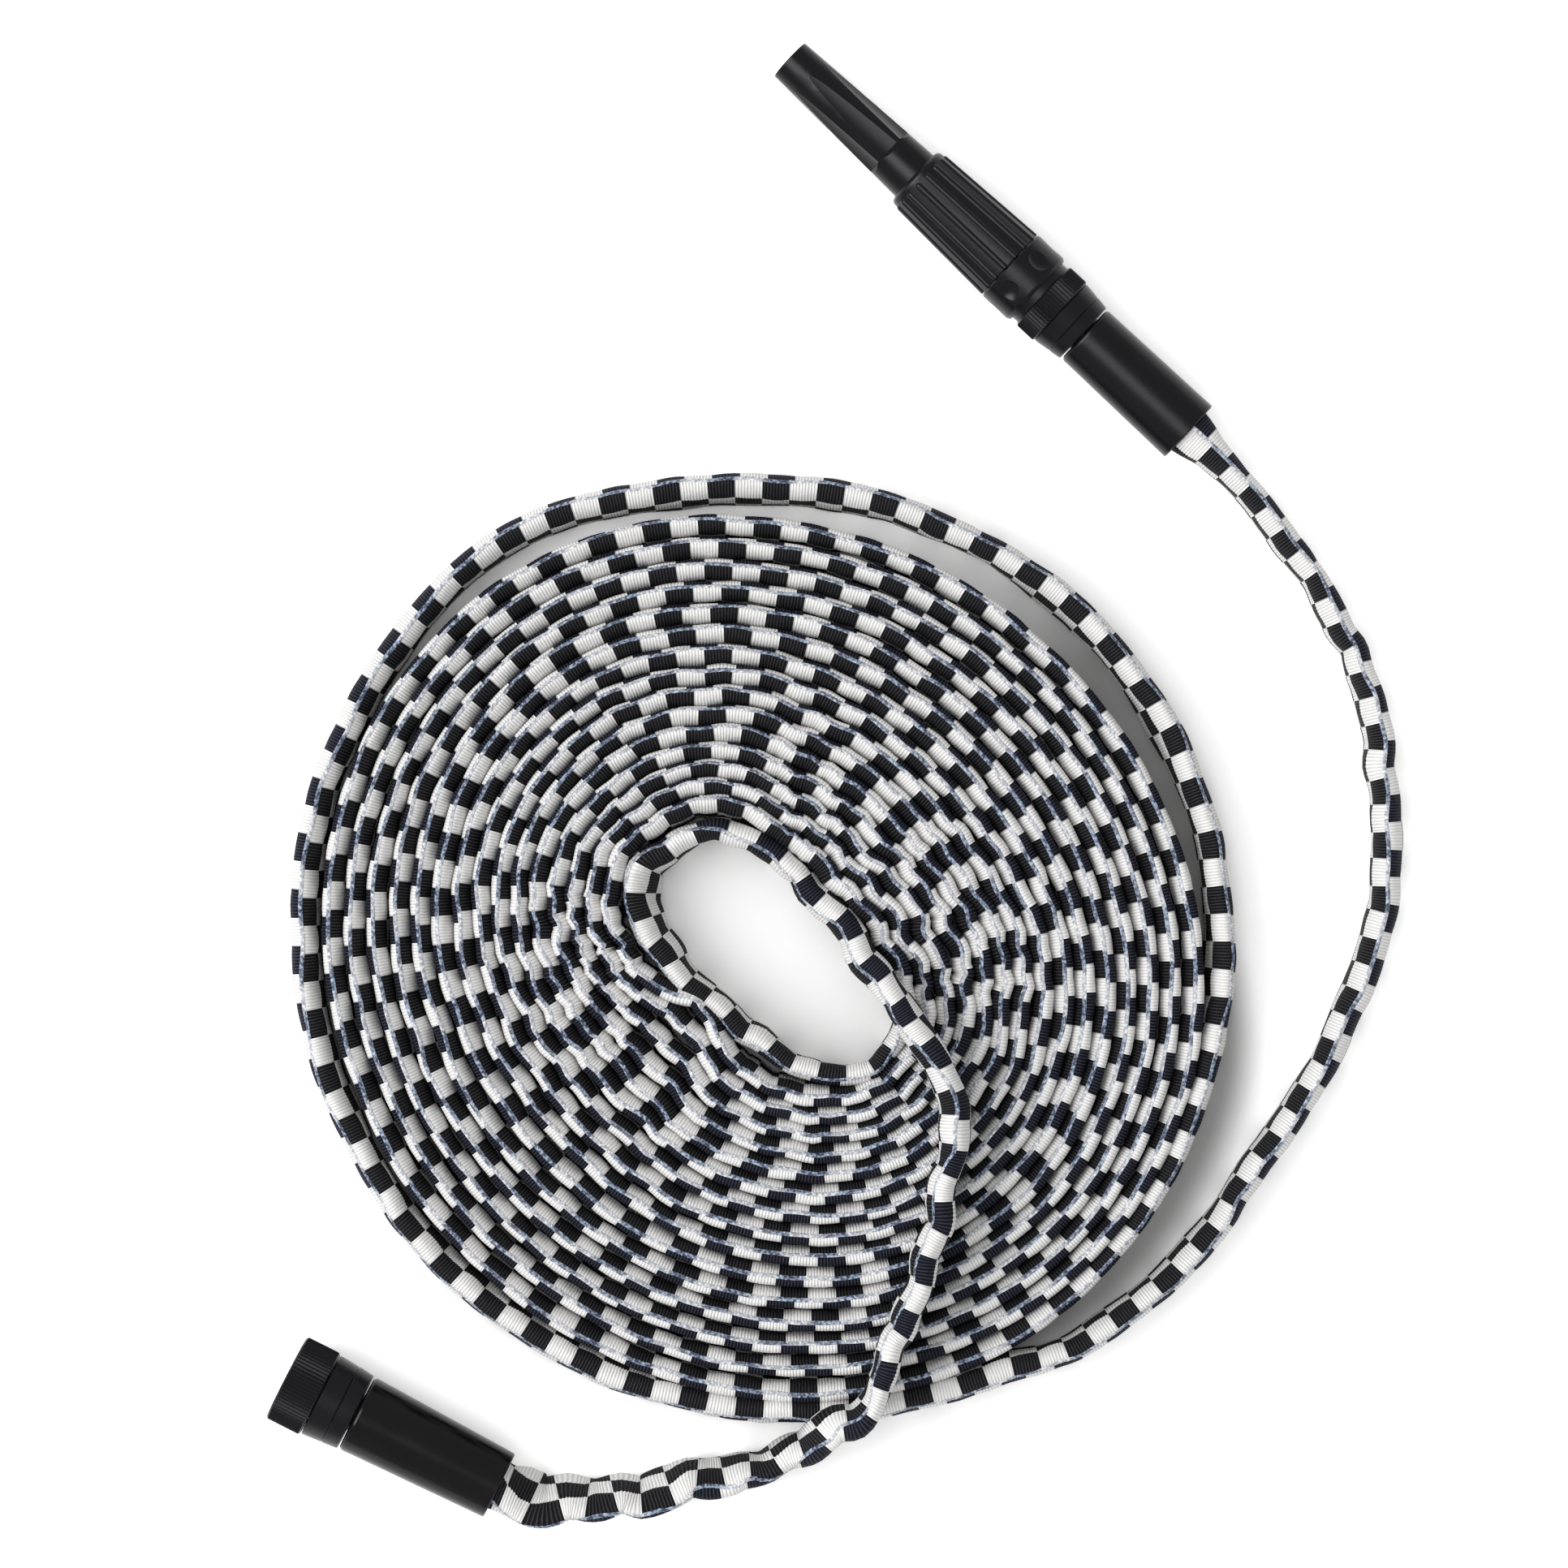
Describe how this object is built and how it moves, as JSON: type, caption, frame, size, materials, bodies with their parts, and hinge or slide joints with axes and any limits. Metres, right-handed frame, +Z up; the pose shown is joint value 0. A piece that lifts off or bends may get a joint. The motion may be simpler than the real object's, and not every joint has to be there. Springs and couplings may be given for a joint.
{
  "type": "garden hose",
  "caption": "Flat garden hose with a woven jacket, wound into a coil on its edge, with a swivel tap connector on one end and a twist spray nozzle on the other.",
  "frame": {"origin": "on the floor, under the middle of the box round the two end fittings; the coil's middle is 10 mm towards +X and 62 mm towards -Y of it", "axes": "+Z up from the floor, +Y from the tap connector's end of the layout to the nozzle's end, +X to the right seen from above"},
  "size_m": [0.4171, 0.5456, 0.054],
  "materials": {
    "jacket": "woven, matte",
    "liner": "matte",
    "seal_rubber": "matte",
    "black_plastic": "satin",
    "sleeve_plastic": "half gloss",
    "steel": "brushed",
    "brass": "turned"
  },
  "bodies": {
    "hose": {"hose_coil": "jacket", "hose_tap_tail": "jacket", "hose_nozzle_tail": "jacket", "tap_washer": "seal_rubber", "tap_tailpiece": "black_plastic", "tap_collar": "black_plastic", "tap_ferrule": "steel", "tap_sleeve": "sleeve_plastic", "tap_liner_end": "liner", "tap_jacket_end": "jacket", "outlet_jacket_end": "jacket", "outlet_liner_end": "liner", "outlet_ferrule": "steel", "outlet_sleeve": "sleeve_plastic", "outlet_collar": "black_plastic", "outlet_coupling": "black_plastic"},
    "tap_nut": {"tap_nut": "black_plastic"},
    "nozzle_stem": {"nozzle_stem": "black_plastic", "valve_pin": "brass", "stem_seal": "seal_rubber", "bearing_ring": "black_plastic", "grip_clip": "steel", "nozzle_washer": "seal_rubber"},
    "nozzle_nut": {"nozzle_nut": "black_plastic"},
    "grip": {"grip_sleeve": "black_plastic"},
    "barrel": {"nozzle_barrel": "black_plastic"}
  },
  "joints": [
    {"name": "tap_nut_spin", "type": "hinge", "parent": "hose", "child": "tap_nut", "pos_m": [-0.16611, -0.22065, 0.01695], "axis": [0.891, -0.454, 0], "continuous": true},
    {"name": "nozzle_off", "type": "slide", "parent": "hose", "child": "nozzle_stem", "axis": [-0.7314, 0.682, 0], "range_m": [0, 0.00884]},
    {"name": "nut_spin", "type": "hinge", "parent": "nozzle_stem", "child": "nozzle_nut", "pos_m": [0.01918, 0.26509, 0.01545], "axis": [-0.7314, 0.682, 0], "range_deg": [0, 1440]},
    {"name": "grip_twist", "type": "hinge", "parent": "nozzle_stem", "child": "grip", "pos_m": [0.01918, 0.26509, 0.01545], "axis": [0.7314, -0.682, 0], "range_deg": [0, 540]},
    {"name": "barrel_feed", "type": "slide", "parent": "nozzle_stem", "child": "barrel", "axis": [-0.7314, 0.682, 0], "range_m": [0, 0.0061]}
  ],
  "couplings": [
    {"joint": "nut_spin", "follows": "nozzle_off", "rad_per_m": 2844.4},
    {"joint": "barrel_feed", "follows": "grip_twist", "m_per_rad": 0.00063662}
  ]
}
